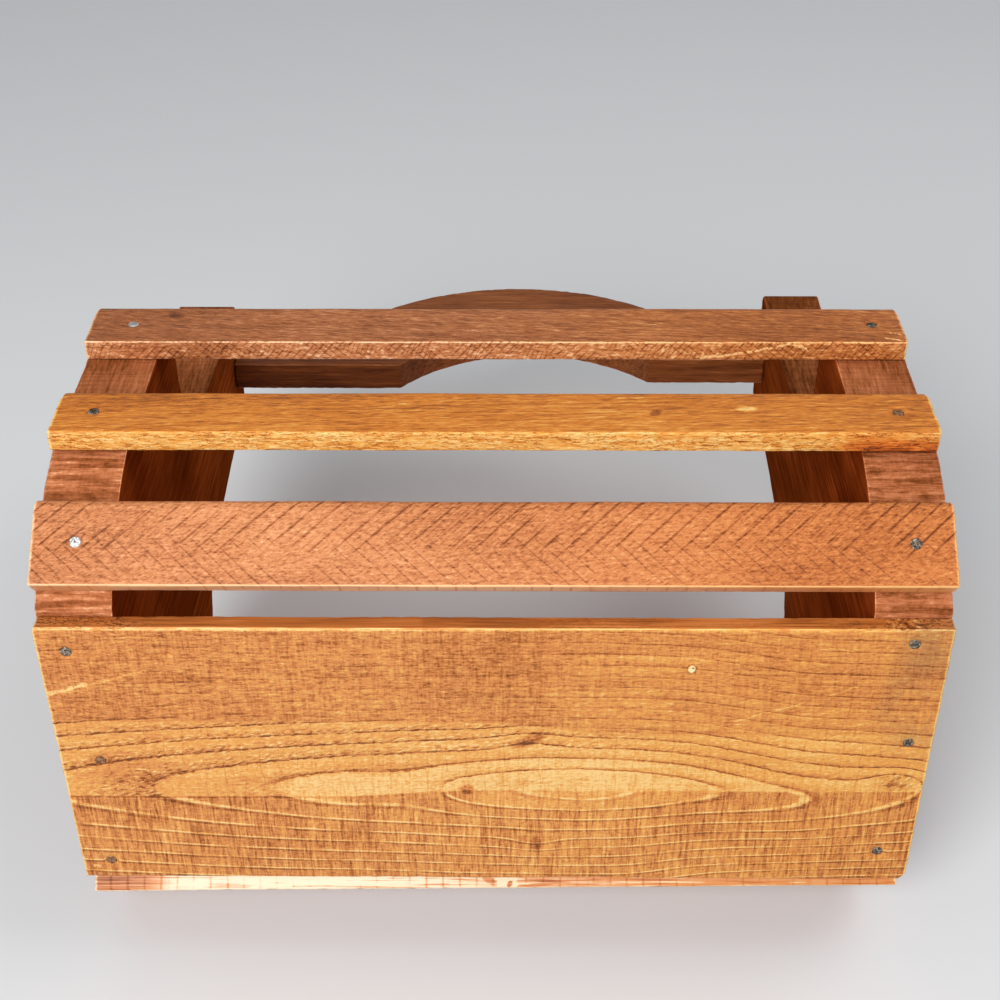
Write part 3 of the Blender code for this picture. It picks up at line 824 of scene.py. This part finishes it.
# Marks on the back slat's pale edge, the first a painted glint by a knot: (along, out), half-sizes, change
# of tone, lean
EDGE_MARKS = (
    ((-6.5, 5.5), (5.0, 4.0), 0.6, 0),
    ((-8.0, 6.0), (1.4, 2.0), -1.0, -35),
    ((3.0, 4.0), (4.5, 1.6), -0.3, -30),
    ((-22.0, 6.5), (10.0, 0.8), -0.3, 4),
    ((-26.0, 4.0), (12.0, 0.8), -0.3, -5),
)
for face_name, sign, seed in (("front", 1.0, 2), ("back", -1.0, 9)):
    piece, place, wood, low_edge, broad_face = slat(
        face_name, "corner", corner_seat, corner_out, CORNER_WIDTH, 1.4 * MM, (0.4, 0.9, 0.3),
        CORNER_SLAT_ENDS, 0.48, 21 + seed,
    )
    high_part = wood.zone(wood.across, -10, 2, 0.1, 1.0)
    low_part = wood.zone(wood.across, -4, 8, 0.9, 0.1)
    wood.blotches(45, 0.09, seed)
    wood.fibres(0.05, 0.01, seed)
    wood.scores(42, 7.2, 0.34, 0.22, high_part, 0.12, 1.0, seed)
    wood.scores(44, 3.6, 0.14, 0.1, high_part, 0.13, 1.2, seed + 2)
    wood.scores(-42, 6.0, 0.24, 0.16, low_part, 0.11, 1.0, seed + 3)
    wood.torn(0.14, 0.1, (220, 600, 600), 0.0, broad_face, seed)
    wood.torn(0.18, 0.1, (460, 950, 950), 0.2, broad_face, seed + 4)
    if face_name == "front":
        wood.shade(low_edge, 0.3)
    else:
        thinned(piece, place, BACK_TAPER)
        # The back slat's lower edge is painted pale: bare worn wood and a painted reflection where it is
        # seen edge-on.
        bare_and_glare = wood.zone(wood.along, -70, 120, 0.32, 0.68) * wood.zone(wood.along, 165, 200, 1.0, 0.0)
        wood.shade(bare_and_glare, low_edge)
        wood.streaks(0.3, 0.0, 1.2, 50, low_edge, 31)
        for at, size, amount, lean in EDGE_MARKS:
            wood.shade(wood.spot(at, size, 0.0, 0.3, lean, on=wood.out) * low_edge, amount)
    wood.edges(0.75)
    ends(wood, 0.5)
    reddened = wood.zone(wood.along * sign, -110, 190)
    palette = CORNER_PALETTE if face_name == "front" else BACK_PALETTE
    material = wood.finish(palette, tints=((reddened, (0.93, 0.78, 0.54)),))
    put(piece, f"{face_name}_corner_slat", material)


# Middle slats
# The slats half way up each side: smoother, planed faces in a plain orange-brown, with golden sawn edges.
# They are nailed once at each end, and their upper corners are rounded off.

SIDE_SLAT_ENDS = ((1, -1, 2.6 * MM, 11 * MM), (1, 1, 2.6 * MM, 11 * MM), (-1, 1, 0.7 * MM, 4 * MM))
MIDDLE_PALETTE = (
    (0.16, 0.040, 0.007), (0.43, 0.120, 0.016), (0.70, 0.220, 0.028),
    (0.85, 0.40, 0.080), (0.96, 0.66, 0.25),
)


def side_slat(face_name, row, low_ease, wear, tone, seed):
    """An upright slat, placed by the front one's CAD box."""
    low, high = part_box(f"front_{row}_slat")
    middle = Vector((0, high.y, (low.z + high.z) / 2))
    facing = Vector((0, -1, 0))
    return slat(face_name, row, middle, facing, high.z - low.z, low_ease, wear, SIDE_SLAT_ENDS, tone, seed)


for face_name, seed in (("front", 4), ("back", 13)):
    piece, place, wood, low_edge, broad_face = side_slat(
        face_name, "middle", 1.2 * MM, (0.5, 0.4, 0.3), 0.47, 31 + seed
    )
    wood.shade(low_edge, 0.36)
    # Painted shade: the face darkens towards its upper edge and pales towards its lower one.
    wood.shade(wood.zone(wood.across, -15, 15, 0.05, -0.06), broad_face)
    wood.shade(wood.zone(wood.along, 140, 200, 0.0, -0.07), broad_face)
    wood.blotches(70, 0.07, seed)
    wood.fibres(0.07, 0.03, seed)
    wood.streaks(0.09, 0.035, 2.4, 34, 1.0, seed + 2)
    wood.streaks(0.17, 0.05, 1.15, 11, 1.0, seed + 6)
    wood.torn(0.15, 0.05, (170, 1050, 1050), 0.05, 1.0, seed + 8)
    wood.flecks(0.3, 0.57, low_edge, seed)
    wood.crinkle(0.3, 0.12, (160, 600, 600), low_edge, 0.03, seed)
    wood.spot((124, 2), (4.6, 2.2), 0.42, 0.4)
    wood.spot((79, -2), (3.2, 2.2), -0.42, 0.5, 40)
    red_end = low_edge * wood.zone(wood.along, 156, 184) * wood.zone(wood.out, 3, 9, 1.0, 0.35)
    wood.shade(red_end * wood.ramp(wood.noise((70, 160, 160), 2.0, 0.6, 3), 0.34, 0.5, 0.25, 1.0), -0.42)
    wood.scratch((-58, 3), (-38, 8), 0.7, 0.3)
    wood.scratch((60, 12), (75, 13), 0.7, 0.3)
    wood.edges(0.35)
    ends(wood, 0.45)
    material = wood.finish(MIDDLE_PALETTE, tints=((red_end, (0.95, 0.74, 0.8)),))
    put(piece, f"{face_name}_middle_slat", material)


# Upper slats
# The slats at the rim, in darker brown stain. Their lower edges are cross-hatched by the saw, and they are
# scratched white and chipped near one end.

UPPER_PALETTE = (
    (0.12, 0.032, 0.010), (0.27, 0.080, 0.024), (0.44, 0.145, 0.048),
    (0.68, 0.28, 0.115), (0.95, 0.62, 0.36),
)
# Saw cuts across the lower edge: angle, pitch, strength, shift
EDGE_CUTS = ((48, 3.4, 0.24, 1), (-42, 2.9, 0.20, 5), (70, 2.3, 0.14, 8))
# A long scratch over the lower edge, by its corners (along, out)
SCAR = ((107, 1.2), (131, 4.9), (147, 7.9), (155, 10.2), (166, 6.0))
# Scratches on the face: from, to, width, change of tone
UPPER_SCRATCHES = (
    ((-20, -6), (2, -9), 0.6, 0.2),
    ((60, 4), (90, -2), 0.6, 0.2),
    ((203, -14), (214, -18), 1.3, 0.8),
    ((206, -9), (215, -12), 1.0, 0.7),
)
upper_low, upper_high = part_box("front_upper_slat")
upper_foot = (upper_low.z - upper_high.z) / 2 / MM
for face_name, sign, seed in (("front", 1.0, 6), ("back", -1.0, 17)):
    piece, place, wood, low_edge, broad_face = side_slat(
        face_name, "upper", 1.0 * MM, (0.5, 1.0, 0.3), 0.5, 41 + seed
    )
    wood.shade(low_edge, 0.19)
    wood.shade(broad_face, -0.05)
    wood.blotches(60, 0.08, seed)
    wood.fibres(0.06, -0.06, seed)
    wood.streaks(0.12, -0.09, 2.2, 24, broad_face, seed + 2)
    wood.streaks(0.17, -0.12, 1.2, 9, broad_face, seed + 6)
    wood.torn(0.15, 0.05, (200, 1000, 1000), -0.12, 1.0, seed + 8)
    wood.torn(0.2, 0.12, (260, 600, 600), 0.0, low_edge, seed)
    deep = wood.combine(wood.along, wood.out, 0.0)
    for angle, pitch, strength, shift in EDGE_CUTS:
        fading = wood.ramp(wood.noise((50, 160, 0), 2.0, 0.5, seed + shift, deep), 0.42, 0.56)
        cut = wood.comb(crossways(wood.along, wood.out, angle), pitch, 0.04, 0.2) * low_edge * fading
        wood.shade(cut, -strength)
        wood.raise_by(cut, -0.15)
    wood.shade(wood.spot((-156, upper_foot), (36, 16), 0.0, 0.6) * low_edge, -0.12)
    wood.spot((-172, 9), (4.5, 3), -0.34, 0.6, -35)
    for start, end in zip(SCAR, SCAR[1:]):
        wood.scratch(start, end, 1.1, 0.9, wood.out, low_edge)
    for scratch in UPPER_SCRATCHES:
        wood.scratch(*scratch)
    wood.edges(0.6)
    ends(wood, 0.35)
    reddened = wood.zone(wood.along * sign, -60, 160)
    material = wood.finish(UPPER_PALETTE, tints=((reddened, (1.0, 0.90, 0.62)),))
    put(piece, f"{face_name}_upper_slat", material)


# End boards
# Two thick boards sawn to a barrel shape below and to an arm above, with the grain upright. Their faces are
# dark stain, darkened further by painted shade, and the left board is painted lighter than the right as
# painted light from the left. The sawn outline shows long grain on the straight sides and rough end grain
# on the belly.

END_THICKNESS = 37 * MM
FLOOR_HALF_WIDTH = 89 * MM
RIM_HEIGHT = 203 * MM
RIM_CORNER = 4 * MM
SHOULDER_FILLET = 62 * MM
ARM_HALF_WIDTH = 40 * MM
ARM_CORNER = 5 * MM
END_CHIP = 0.3 * MM
END_STEPS = 20
FOOT_POINTS = 45
BELLY_STEPS = 63
NAIL_INSET = 18.5 * MM


def end_outline(arm_top):
    """Half of an end board's outline in (y, z), as its lower and its upper curve, from the middle outwards.

    The lower curve is the flat foot and the belly, an arc that ends upright. The upper one is the arm's top
    and side, the hollow fillet, the shoulder and the rim corner, in as many even steps as the lower one.
    """
    foot_line = np.linspace((0, BODY_BASE), (FLOOR_HALF_WIDTH, BODY_BASE), FOOT_POINTS + 1)[:-1]
    centre = (BODY_HALF_WIDTH - BELLY_RADIUS, belly_centre.z)
    belly = arc(centre, BELLY_RADIUS, -math.degrees(belly_foot), 0, steps=BELLY_STEPS)
    lower = np.vstack([foot_line, belly[:, :2]])
    arm_side = ARM_HALF_WIDTH - ARM_CORNER
    fillet_centre = (ARM_HALF_WIDTH + SHOULDER_FILLET, RIM_HEIGHT + SHOULDER_FILLET)
    rim_centre = (BODY_HALF_WIDTH - RIM_CORNER, RIM_HEIGHT - RIM_CORNER)
    arm_corner = arc((arm_side, arm_top - ARM_CORNER), ARM_CORNER, 90, 0, steps=6)
    hollow = arc(fillet_centre, SHOULDER_FILLET, 180, 270, steps=23)
    rim = arc(rim_centre, RIM_CORNER, 90, 0, steps=5)
    upper = np.vstack([[(0, arm_top)], arm_corner[:, :2], hollow[:, :2], rim[:, :2]])
    way = np.concatenate([[0], np.cumsum(np.linalg.norm(np.diff(upper, axis=0), axis=1))])
    even = np.linspace(0, way[-1], len(lower))
    return lower, np.column_stack([np.interp(even, way, upper[:, 0]), np.interp(even, way, upper[:, 1])])


def mirrored(half):
    """A half curve from the middle outwards, made whole by its mirror image, with a column for wear."""
    whole = np.vstack([half[:0:-1] * (-1, 1), half])
    return np.column_stack([whole, np.zeros(len(whole))])


END_PALETTE = (
    (0.085, 0.020, 0.005), (0.20, 0.055, 0.015), (0.40, 0.125, 0.045),
    (0.60, 0.22, 0.095), (0.92, 0.56, 0.30),
)
end_place = directions((0, 1, 0), (0, 0, 1), (1, 0, 0), (0, 0, 0))
# Per board: tone, set lighter on the left as painted light from the left, and darker, the broad faces' stain
# with painted shade, deeper on the left.
for side, sign, tone, darker in (("left", -1, 0.58, -0.30), ("right", 1, 0.5, -0.18)):
    node = f"end_board_{side}"
    low_corner, high_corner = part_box(node)
    lower, upper = end_outline(high_corner.z)
    places = np.linspace(low_corner.x + FINE_PITCH, high_corner.x - FINE_PITCH, END_STEPS)
    piece = carried(
        f"{node}_sawn", mirrored(lower), mirrored(upper), rows=60, places=places, place=end_place,
        seed=51 + sign, chip=END_CHIP,
    )
    upright = directions((0, 0, 1), (0, 1, 0), (-1, 0, 0), (sign * (half_length - NAIL_INSET), 0, 0))
    wood = Timber(f"end_wood_{side}", upright, tone)
    broad_face = wood.near(abs(wood.out), END_THICKNESS / 2, 0.6, 0.2)
    sawn_edge = 1.0 - broad_face
    belly = wood.zone(wood.along, 70, 130, 1.0, 0.15)
    on_belly, on_side = sawn_edge * belly, sawn_edge * (1.0 - belly)
    # Painted shade over the stain: the broad faces are darkened.
    wood.shade(broad_face, darker)
    # Painted shade: the sawn edge darkens towards the top of the board, up into the arm.
    wood.shade(wood.zone(wood.along, 120, 190), sawn_edge * -0.2)
    wood.blotches(40, 0.1, 5 + sign)
    wood.fibres(0.05, 0.0, sign)
    wood.streaks(0.13, 0.02, 3.2, 70, broad_face, sign + 4)
    wood.streaks(0.13, 0.0, 2.0, 24, on_side, sign + 7)
    cut_rings = wood.ramp(wood.noise((360, 360, 26), 3.0, 0.65, sign + 7), 0.36, 0.64, 0.16, -0.2)
    wood.shade(cut_rings, on_belly)
    wood.raise_by(cut_rings * 0.6, sawn_edge)
    wood.torn(0.12, 0.1, (420, 420, 200), 0.0, on_belly, 3 + sign)
    wood.torn(0.09, 0.06, (120, 600, 600), 0.0, on_side, 5 + sign)
    wood.edges(0.45)
    outer_gloss = wood.near(wood.out * -sign, END_THICKNESS / 2, 0.6, 0.0, 0.3)
    # The tint deepens the broad faces' stain and adds painted shade to it.
    material = wood.finish(
        END_PALETTE, gloss=0.5, tints=((broad_face, (0.85, 0.55, 0.28)),), sheen=outer_gloss, coat=0.0
    )
    put(piece, node, material)


# Handle board
# One board on edge between the two arms, nailed through them. Its top swells to a crown and its underside is
# cut to an arch for the hand. Both are a little off the middle, as it was sawn by eye.

# Dark stain, set darker in part as painted shade.
HANDLE_PALETTE = (
    (0.085, 0.020, 0.004), (0.19, 0.050, 0.011), (0.33, 0.100, 0.026),
    (0.55, 0.21, 0.060), (0.92, 0.58, 0.28),
)
GRIP_RISE = 34.5 * MM
GRIP_RADIUS = 111 * MM
GRIP_SHIFT = 20 * MM
CROWN_RISE = 62.5 * MM
CROWN_SPAN = 249 * MM
CROWN_SHIFT = 13 * MM
CROWN_FILLET = 30 * MM
HANDLE_END_HEIGHT = 36 * MM
LEFT_DROP = 7.5 * MM
HANDLE_COLUMNS = 200
HANDLE_STEPS = 12

low_corner, high_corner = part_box("handle_board")
handle_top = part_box("end_board_right")[1].z
handle_face = (high_corner.y - low_corner.y) / 2 - FINE_PITCH
x = np.linspace(-high_corner.x, high_corner.x, HANDLE_COLUMNS)
# The underside is flat, lower on the left, with an arc of GRIP_RADIUS cut up into it
flat_foot = handle_top - HANDLE_END_HEIGHT
grip_rise = np.sqrt(np.clip(GRIP_RADIUS**2 - (x - GRIP_SHIFT) ** 2, 0, None)) + GRIP_RISE - GRIP_RADIUS
underside = np.maximum(np.where(x > GRIP_SHIFT, flat_foot, flat_foot - LEFT_DROP), flat_foot + grip_rise)
# The crown is an arc through its two feet and its top. Each foot runs out in a hollow arc of CROWN_FILLET
off = np.abs(x - CROWN_SHIFT)
crown_radius = ((CROWN_SPAN / 2) ** 2 + CROWN_RISE**2) / (2 * CROWN_RISE)
crown = handle_top + CROWN_RISE - crown_radius + np.sqrt(np.clip(crown_radius**2 - off**2, 0, None))
reach = math.sqrt((CROWN_SPAN / 2) ** 2 + 2 * CROWN_FILLET * CROWN_RISE)
hollow = handle_top + CROWN_FILLET - np.sqrt(CROWN_FILLET**2 - np.clip(reach - off, 0, CROWN_FILLET) ** 2)
crown_foot = reach * crown_radius / (crown_radius + CROWN_FILLET)
topside = np.where(off > crown_foot, hollow, np.maximum(crown, handle_top))
unworn = np.zeros(len(x))
piece = carried(
    "handle_board_sawn", np.column_stack([x, underside, unworn]), np.column_stack([x, topside, unworn]),
    rows=16, places=np.linspace(-handle_face, handle_face, HANDLE_STEPS),
    place=directions((1, 0, 0), (0, 0, 1), (0, -1, 0), (0, 0, 0)), seed=61,
)
wood = Timber("handle_wood", directions((1, 0, 0), (0, 0, 1), (0, -1, 0), (0, 0, handle_top)), 0.45)
wood.blotches(60, 0.1, 3)
wood.fibres(0.06, 0.0, 3)
# Painted shade: the handle's left half is darkened, and the lower part of that half more.
wood.shade(wood.zone(wood.along, -60, 20, -0.1, 0.0))
wood.shade(wood.zone(wood.along, -60, 20, -0.17, -0.1), wood.zone(wood.across, -34, -16, 1.0, 0.0))
wood.streaks(0.14, 0.02, 2.4, 50, 1.0, 5)
wood.streaks(0.10, 0.02, 1.3, 20, 1.0, 9)
wood.edges(0.4)
put(piece, "handle_board", wood.finish(HANDLE_PALETTE, gloss=0.42, sheen=0.15, coat=0.0))


# Nails
# Round-head wire nails, hammered flush: a shallow domed head with a beaten face, and a shank that runs
# through one board into the next. The heads are dull grey, but for a few, rubbed bright or stained brown.

NAIL_SIDES = 28
NAIL_SUNK = 0.2 * MM
SHORT_NAIL = 38 * MM
LONG_NAIL = 65 * MM
HEAD_RADIUS = 2.8 * MM
HEAD_HEIGHT = 1.0 * MM
HEAD_DOME = 0.35 * MM
HAMMER_MARK = 0.08 * MM
HAMMER_WAVE = 2.2 * MM
SHANK_RADIUS = 1.2 * MM
POINT_LENGTH = 4 * MM


def nail(name, top, inward, length, seed):
    """A nail turned about its axis: (radius, depth) pairs of its profile, swept through a full turn.

    The head's face falls away by HEAD_DOME times (r / R) squared, and ripples where the hammer met it.
    """
    r = np.linspace(0, 1, 7)[1:]
    shank = [(HEAD_RADIUS, HEAD_HEIGHT), (SHANK_RADIUS, HEAD_HEIGHT), (SHANK_RADIUS, length - POINT_LENGTH)]
    profile = np.vstack([np.column_stack([r * HEAD_RADIUS, HEAD_DOME * r**2]), shank])
    turn = np.linspace(0, math.tau, NAIL_SIDES, endpoint=False)
    radius, depth = profile[:, 0, None], np.broadcast_to(profile[:, 1, None], (len(profile), NAIL_SIDES))
    points = np.stack([radius * np.cos(turn), radius * np.sin(turn), depth], axis=-1).reshape(-1, 3)
    points = np.vstack([points, (0, 0, 0), (0, 0, length)])
    on_head = points[:, 2] < HEAD_DOME + 0.01 * MM
    points[:, 2] += np.clip(HAMMER_MARK * ripple(points, HAMMER_WAVE, seed) * on_head, 0, None)
    ring = np.arange(len(profile) * NAIL_SIDES).reshape(len(profile), NAIL_SIDES)
    after = np.roll(ring, -1, axis=1)
    walls = np.stack([after[:-1], after[1:], ring[1:], ring[:-1]], axis=-1).reshape(-1, 4)
    head_cap = np.column_stack([ring[0], after[0], np.full(NAIL_SIDES, ring.size)])
    point_cap = np.column_stack([after[-1], ring[-1], np.full(NAIL_SIDES, ring.size + 1)])
    turned = np.array(inward.to_track_quat("Z", "Y").to_matrix())
    world = points @ turned.T + np.array(top)
    return make_piece(name, world.tolist(), walls.tolist() + head_cap.tolist() + point_cap.tolist())


def nail_seat(node):
    """Top of a nail's head, the way it is driven, and its length."""
    low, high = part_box(node)
    middle = nail_middle(node)
    board, row = node.split("_")[1:3]
    if board == "bottom":
        return Vector((middle.x, middle.y, low.z)), Vector((0, 0, 1)), SHORT_NAIL
    if board == "handle":
        side = row
        outer = high.x if side == "right" else low.x
        return Vector((outer, middle.y, middle.z)), Vector((-math.copysign(1, outer), 0, 0)), LONG_NAIL
    if row != "corner":
        outer = low.y if board == "front" else high.y
        return Vector((middle.x, outer, middle.z)), Vector((0, -math.copysign(1, outer), 0)), SHORT_NAIL
    thickness, seat, inward = SLAT_THICKNESS, corner_seat, -corner_out
    if board == "back":
        thickness -= BACK_TAPER * (half_length + middle.x) / (2 * half_length)
        seat, inward = HALF_TURN @ seat, HALF_TURN @ inward
    top = seat - inward * (thickness - NAIL_SUNK)
    top.x = middle.x
    return top, inward, SHORT_NAIL


def steel(name, palette, metal, relief):
    """Old steel: rust and wear as a cloudy tone, picked from the palette, with a beaten face."""
    made = Timber(name, Matrix.Identity(4), 0.5)
    made.tone = made.ramp(made.noise((700, 700, 700), 3.0, 0.65, 5), 0.32, 0.68)
    made.raise_by(made.ramp(made.noise((1300, 1300, 1300), 2.0, 0.6, 2), 0.3, 0.7), relief)
    made.shader.inputs["Metallic"].default_value = metal
    return made.finish(palette, gloss=0.38, sheen=0.5)


# Palette, how metallic, height of the hammer's marks
STEELS = {
    "dull_steel": (((0.05, 0.03, 0.02), (0.17, 0.13, 0.095), (0.50, 0.44, 0.36)), 0.85, 0.25),
    "bright_steel": (((0.45, 0.43, 0.40), (0.75, 0.74, 0.72), (0.9, 0.9, 0.9)), 1.0, 0.2),
    "stained_steel": (((0.10, 0.035, 0.012), (0.26, 0.11, 0.04), (0.42, 0.22, 0.10)), 0.4, 0.25),
}
steels = {name: steel(name, *look) for name, look in STEELS.items()}
BRIGHT_NAILS = ("nail_front_corner_left", "nail_front_upper_left")
STAINED_NAILS = (
    "nail_front_middle_right", "nail_bottom_left_2", "nail_bottom_left_3", "nail_back_upper_left",
)
nail_nodes = sorted(node for node in frame["nodes"] if node.startswith("nail_"))
for seed, node in enumerate(nail_nodes, 71):
    look = "stained_steel" if node in STAINED_NAILS else "dull_steel"
    if node in BRIGHT_NAILS:
        look = "bright_steel"
    put(nail(f"{node}_beaten", *nail_seat(node), seed), node, steels[look])


# Bench, light and camera
# A pale sheet behind the basket and a pale bench under it. Both are seen from their front sides only and let
# the lamps' light pass. Soft lamps stand in front, below and behind, and the camera looks up from below.

PALE = (0.76, 0.77, 0.78, 1.0)
WIDE = 6.0
BEHIND = 0.1475
UNDER = -0.0006
CAMERA_PLACE = (0.01006, -0.58471, -0.58048)
CAMERA_RIGHT = (0.99996, 0.00357, 0.00820)
CAMERA_UP = (-0.00195, -0.80760, 0.58973)
CAMERA_LOOK = (-0.00873, 0.58972, 0.80756)
CAMERA_LENS = 58.94
AIM = (0.0, 0.0, 0.15)


def pale_sheet(name, corners, seen_by):
    """A flat pale sheet that catches only the named kinds of ray, and those only from its front side."""
    sheet = make_piece(name, corners, [(0, 1, 2, 3)])
    material = bpy.data.materials.new(name)
    material.use_nodes = True
    nodes, links = material.node_tree.nodes, material.node_tree.links
    shader = nodes["Principled BSDF"]
    shader.inputs["Base Color"].default_value = PALE
    shader.inputs["Roughness"].default_value = 0.9
    path = nodes.new("ShaderNodeLightPath")
    seen = path.outputs[seen_by[0]]
    steps = [("MAXIMUM", path.outputs[kind]) for kind in seen_by[1:]]
    steps.append(("SUBTRACT", nodes.new("ShaderNodeNewGeometry").outputs["Backfacing"]))
    for operation, other in steps:
        step = nodes.new("ShaderNodeMath")
        step.operation = operation
        step.use_clamp = True
        links.new(seen, step.inputs[0])
        links.new(other, step.inputs[1])
        seen = step.outputs[0]
    mixed = nodes.new("ShaderNodeMixShader")
    links.new(seen, mixed.inputs[0])
    links.new(nodes.new("ShaderNodeBsdfTransparent").outputs[0], mixed.inputs[1])
    links.new(shader.outputs[0], mixed.inputs[2])
    links.new(mixed.outputs[0], nodes["Material Output"].inputs["Surface"])
    sheet.data.materials.append(material)


pale_sheet(
    "backdrop",
    [(-WIDE, BEHIND, WIDE), (-WIDE, BEHIND, -WIDE), (WIDE, BEHIND, -WIDE), (WIDE, BEHIND, WIDE)],
    ("Is Camera Ray", "Is Glossy Ray", "Is Transmission Ray"),
)
pale_sheet(
    "bench",
    [(-WIDE, -WIDE, UNDER), (WIDE, -WIDE, UNDER), (WIDE, WIDE, UNDER), (-WIDE, WIDE, UNDER)],
    ("Is Camera Ray",),
)


def set_up(name, data, place, turn):
    """Stands a lamp or the camera at its place, turned."""
    holder = bpy.data.objects.new(name, data)
    bpy.context.scene.collection.objects.link(holder)
    holder.location = place
    holder.rotation_mode = "QUATERNION"
    holder.rotation_quaternion = turn
    return holder


for name, place, size, watts in (
    ("key", (-0.7, -1.35, -1.75), 1.3, 53),
    ("fill", (1.5, -1.9, 0.2), 1.6, 13),
    ("back", (0.0, 1.7, 1.5), 1.6, 26),
):
    light = bpy.data.lights.new(name, "AREA")
    light.shape = "DISK"
    light.size = size
    light.energy = watts
    set_up(name, light, place, (Vector(AIM) - Vector(place)).to_track_quat("-Z", "Y"))

world = bpy.data.worlds.new("studio")
world.use_nodes = True
world.node_tree.nodes["Background"].inputs["Color"].default_value = (0.86, 0.88, 0.9, 1.0)
world.node_tree.nodes["Background"].inputs["Strength"].default_value = 0.42
bpy.context.scene.world = world
bpy.context.scene.view_settings.view_transform = "Standard"

camera_turn = Matrix((CAMERA_RIGHT, CAMERA_UP, -Vector(CAMERA_LOOK))).transposed().to_quaternion()
camera = set_up("camera", bpy.data.cameras.new("camera"), CAMERA_PLACE, camera_turn)
camera.data.lens = CAMERA_LENS
camera.data.clip_start = 0.05
bpy.context.scene.camera = camera
